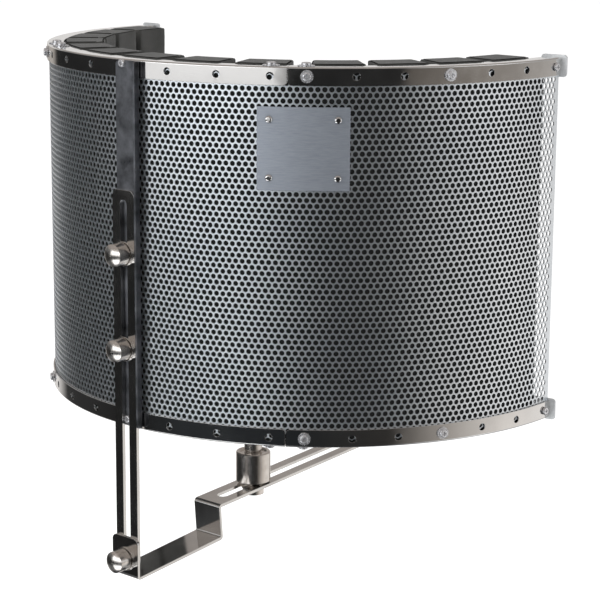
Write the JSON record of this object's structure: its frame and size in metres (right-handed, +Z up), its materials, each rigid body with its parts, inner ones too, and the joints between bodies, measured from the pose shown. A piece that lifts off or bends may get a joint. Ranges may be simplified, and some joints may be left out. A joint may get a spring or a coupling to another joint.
{
  "type": "microphone isolation shield",
  "caption": "Curved acoustic isolation shield for a microphone: a foam-lined perforated wall with channel rims on a slotted hanger bar and a Z-shaped arm with a stand thread.",
  "frame": {"origin": "mouth of the stand socket, on the axis of the stand mount and the microphone stud", "axes": "+Z up along the mount axis, +Y towards the open side where the microphone stands, +X along the wall so that the hanger is at the back (-Y)"},
  "size_m": [0.4924, 0.3236, 0.4358],
  "materials": {
    "perforated_aluminium": "satin, perforated",
    "absorber_felt": "dense matt felt",
    "liner_aluminium": "satin",
    "charcoal_foam": "matt open-cell foam",
    "polished_rim": "mirror polished",
    "zinc_steel": "bright zinc plated",
    "pale_zinc": "pale matt zinc plated",
    "stamped_steel": "dull stamped steel",
    "dark_chrome": "polished",
    "satin_nickel": "satin turned nickel",
    "satin_badge": "satin blue-grey",
    "bright_chrome": "polished"
  },
  "bodies": {
    "stand": {"stand_mount": "satin_nickel"},
    "washer": {"slot_washer": "satin_nickel"},
    "nut": {"clamp_nut": "satin_nickel"},
    "arm": {"z_arm": "dark_chrome", "pivot_bolt": "zinc_steel", "knob_washer_pivot": "satin_nickel"},
    "bar": {"slotted_bar": "dark_chrome"},
    "shield": {"absorber_layer": "absorber_felt", "badge_plate": "satin_badge", "badge_rivets": "bright_chrome", "bottom_rim_centre": "polished_rim", "bottom_rim_left": "polished_rim", "bottom_rim_right": "polished_rim", "bracket_screws": "zinc_steel", "clamp_stud_lower": "zinc_steel", "clamp_stud_upper": "zinc_steel", "end_plate_lower_left": "pale_zinc", "end_plate_lower_right": "pale_zinc", "end_plate_upper_left": "pale_zinc", "end_plate_upper_right": "pale_zinc", "foam_rib_01": "charcoal_foam", "foam_rib_02": "charcoal_foam", "foam_rib_03": "charcoal_foam", "foam_rib_04": "charcoal_foam", "foam_rib_05": "charcoal_foam", "foam_rib_06": "charcoal_foam", "foam_rib_07": "charcoal_foam", "foam_rib_08": "charcoal_foam", "foam_rib_09": "charcoal_foam", "foam_rib_10": "charcoal_foam", "foam_rib_11": "charcoal_foam", "foam_rib_12": "charcoal_foam", "foam_rib_13": "charcoal_foam", "inner_liner_panel": "liner_aluminium", "knob_washer_lower": "satin_nickel", "knob_washer_upper": "satin_nickel", "mounting_bracket": "stamped_steel", "outer_perforated_panel": "perforated_aluminium", "rim_screws": "zinc_steel", "rim_washers": "zinc_steel", "splice_plates": "zinc_steel", "splice_screws": "zinc_steel", "star_washers": "zinc_steel", "top_rim_centre": "polished_rim", "top_rim_left": "polished_rim", "top_rim_right": "polished_rim"},
    "knob_upper": {"clamp_knob_upper": "satin_nickel"},
    "knob_lower": {"clamp_knob_lower": "satin_nickel"},
    "knob_pivot": {"clamp_knob_pivot": "satin_nickel"}
  },
  "joints": [
    {"name": "stand_swivel", "type": "hinge", "parent": "stand", "child": "washer", "pos_m": [0, 0, 0.0059], "axis": [0, 0, 1], "continuous": true},
    {"name": "nut_turn", "type": "hinge", "parent": "stand", "child": "nut", "pos_m": [0, 0, 0.024], "axis": [0, 0, 1], "continuous": true},
    {"name": "arm_reach", "type": "slide", "parent": "washer", "child": "arm", "axis": [0, 0.9976, 0.0698], "range_m": [-0.135, 0.038]},
    {"name": "bar_tilt", "type": "hinge", "parent": "arm", "child": "bar", "pos_m": [0, -0.1542, -0.0207], "axis": [0, 1, 0], "range_deg": [-12, 12]},
    {"name": "shield_height", "type": "slide", "parent": "bar", "child": "shield", "axis": [0, 0, 1], "range_m": [-0.085, 0.039]},
    {"name": "upper_knob_turn", "type": "hinge", "parent": "shield", "child": "knob_upper", "pos_m": [0, -0.1637, 0.2393], "axis": [0, 1, 0], "continuous": true},
    {"name": "lower_knob_turn", "type": "hinge", "parent": "shield", "child": "knob_lower", "pos_m": [0, -0.1637, 0.1598], "axis": [0, 1, 0], "continuous": true},
    {"name": "pivot_knob_turn", "type": "hinge", "parent": "arm", "child": "knob_pivot", "pos_m": [0, -0.1667, -0.0207], "axis": [0, 1, 0], "continuous": true}
  ]
}
